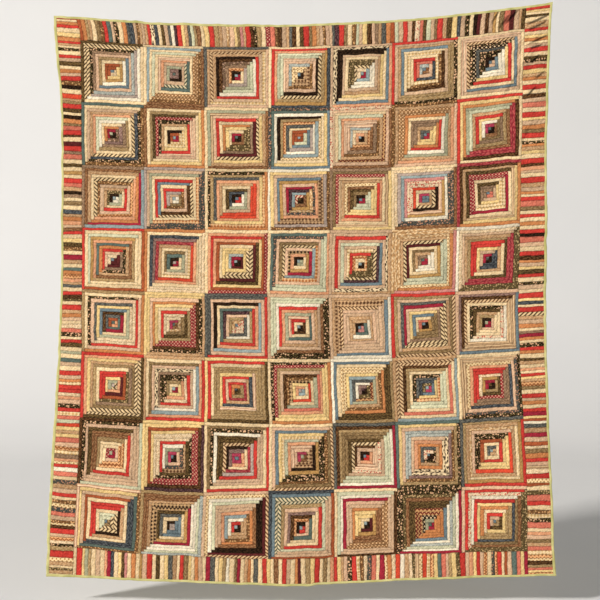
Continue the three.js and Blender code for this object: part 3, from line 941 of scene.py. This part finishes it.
def binding(node, start, end, placed, turned):
    """Folds a strip along one edge. placed turns a line and a distance in from the edge into flat places."""
    steps = round((end - start) / BINDING_STEP)
    lines = np.linspace(start, end, steps + 1)[:, None]
    inward, back = (np.array(values)[None, :] for values in zip(*SECTION))
    draw = np.random.default_rng(300 + steps)
    roll = np.interp(lines[:, 0], lines[::3, 0], draw.normal(0, BINDING_ROLL, len(lines[::3])))[:, None]
    proud = (back < -GAP) | (back > CLOTH + GAP)
    back = back + np.where(proud, np.sign(back) * roll, 0)
    across, down = placed(lines, np.repeat(inward, steps + 1, 0))
    points = hang(across, down)
    points[..., 1] += back * MM
    size = len(SECTION)
    index = np.arange((steps + 1) * size).reshape(steps + 1, size)
    beside = np.roll(index, -1, 1)
    sides = np.stack([index[:-1], index[1:], beside[1:], beside[:-1]], -1).reshape(-1, 4)
    faces = [side[::-1] if turned else side for side in sides.tolist()]
    ends = [index[0].tolist(), index[-1][::-1].tolist()]
    faces += [cap[::-1] if turned else cap for cap in ends]
    mesh = bpy.data.meshes.new(node)
    mesh.from_pydata(points.reshape(-1, 3).tolist(), [], faces)
    around = np.concatenate([[0], np.cumsum(np.hypot(np.diff(inward[0]), np.diff(back[0])))])
    strip = np.stack(np.broadcast_arrays(lines, around[None, :]), -1).reshape(-1, 2) * MM
    corners = np.zeros(len(mesh.loops), int)
    mesh.loops.foreach_get("vertex_index", corners)
    mesh.uv_layers.new(name="strip").data.foreach_set("uv", strip[corners].astype(np.float32).ravel())
    mesh.materials.append(BINDING_COTTON)
    place(node + "_strip", mesh, node, "binding_cotton", (end - start, BINDING_FLAT))


binding("binding_top", 0, FLAT_WIDTH, lambda line, inward: (line, inward), True)
binding("binding_bottom", 0, FLAT_WIDTH, lambda line, inward: (line, FLAT_HEIGHT - inward), False)
binding("binding_left", BOUND_BAND, FLAT_HEIGHT - BOUND_BAND, lambda line, inward: (inward, line), False)
binding("binding_right", BOUND_BAND, FLAT_HEIGHT - BOUND_BAND,
        lambda line, inward: (FLAT_WIDTH - inward, line), True)

# Floor and backdrop
# One pale painted sweep, level under the quilt and curving up far behind it. Its distance leaves room to see
# the quilt's back.
FLOOR_Z = -2.07
SWEEP_WIDE, SWEEP_FRONT, SWEEP_BACK, SWEEP_HIGH = 16, -14.6, 6.6, 7
BEND, BEND_STEPS = 2.4, 20
bpy.ops.object.select_all(action="DESELECT")
bpy.ops.mesh.primitive_plane_add(size=1, location=(0, (SWEEP_FRONT + SWEEP_BACK) / 2, FLOOR_Z))
sweep = bpy.context.object
sweep.name = "pale_sweep"
sweep.dimensions = (SWEEP_WIDE, SWEEP_BACK - SWEEP_FRONT, 0)
bpy.ops.object.transform_apply(location=True, rotation=False, scale=True)
bpy.ops.object.mode_set(mode="EDIT")
bpy.ops.mesh.select_all(action="DESELECT")
bpy.ops.object.mode_set(mode="OBJECT")
for edge in sweep.data.edges:
    edge.select = all(sweep.data.vertices[k].co.y > SWEEP_BACK - 0.1 for k in edge.vertices)
bpy.ops.object.mode_set(mode="EDIT")
bpy.ops.mesh.select_mode(type="EDGE")
bpy.ops.mesh.extrude_edges_move(TRANSFORM_OT_translate={"value": (0, 0, SWEEP_HIGH)})
bpy.ops.object.mode_set(mode="OBJECT")
round_back = sweep.modifiers.new("round back", "BEVEL")
round_back.width, round_back.segments, round_back.limit_method = BEND, BEND_STEPS, "ANGLE"
bpy.ops.object.modifier_apply(modifier=round_back.name)
bpy.ops.object.shade_smooth_by_angle(angle=SMOOTH_BELOW)
paint, paint_tree = empty_tree("matt_pale_paint")
body = add(paint_tree, "TexCoord").outputs["Object"]
clouding = add(paint_tree, "TexNoise", {"Vector": body, "Scale": 1.5})
paint_colour = add(paint_tree, "MixRGB", {"Fac": clouding.outputs["Fac"], "Color1": linear("E4E5E5"),
                                          "Color2": linear("EAEAE9")})
paint_shader = add(paint_tree, "BsdfPrincipled", {"Base Color": paint_colour.outputs[0], "Roughness": 0.9})
add(paint_tree, "OutputMaterial", {"Surface": paint_shader.outputs[0]})
sweep.data.materials.append(paint)

# Light and camera
# A large soft key light, high on the left in front, which rakes the seams a little, a wide fill from the
# right and a dim even surround. The camera looks level at the middle of the picture, 4.5 m away.
CAMERA_BACK = 4.5
VIEW_WIDTH = 2.136
CENTRE = (-0.0117, 0.0, -0.9826)


def soft_light(name, place_at, size, power, colour):
    data = bpy.data.lights.new(name, "AREA")
    data.shape, data.size, data.energy, data.color = "SQUARE", size, power, colour
    lamp = bpy.data.objects.new(name, data)
    bpy.context.collection.objects.link(lamp)
    lamp.location = place_at
    aim = Vector(CENTRE) - lamp.location
    lamp.rotation_euler = aim.to_track_quat("-Z", "Y").to_euler()


soft_light("key", place_at=(-18.0, -15.2, 11.0), size=3.0, power=7480, colour=(1.0, 0.95, 0.9))
soft_light("fill", place_at=(5.2, -6.4, -0.2), size=4.0, power=150, colour=(1.0, 0.985, 0.96))
world = bpy.data.worlds.new("studio")
bpy.context.scene.world = world
world.use_nodes = True
world.node_tree.nodes["Background"].inputs["Color"].default_value = (1.0, 0.985, 0.96, 1)
world.node_tree.nodes["Background"].inputs["Strength"].default_value = 0.17

camera_data = bpy.data.cameras.new("camera")
camera_data.sensor_width = 36
camera_data.lens = camera_data.sensor_width * CAMERA_BACK / VIEW_WIDTH
camera = bpy.data.objects.new("camera", camera_data)
bpy.context.collection.objects.link(camera)
camera.location = (CENTRE[0], -CAMERA_BACK, CENTRE[2])
camera.rotation_euler = (math.radians(90), 0, 0)
bpy.context.scene.camera = camera
bpy.context.scene.view_settings.view_transform = "Standard"
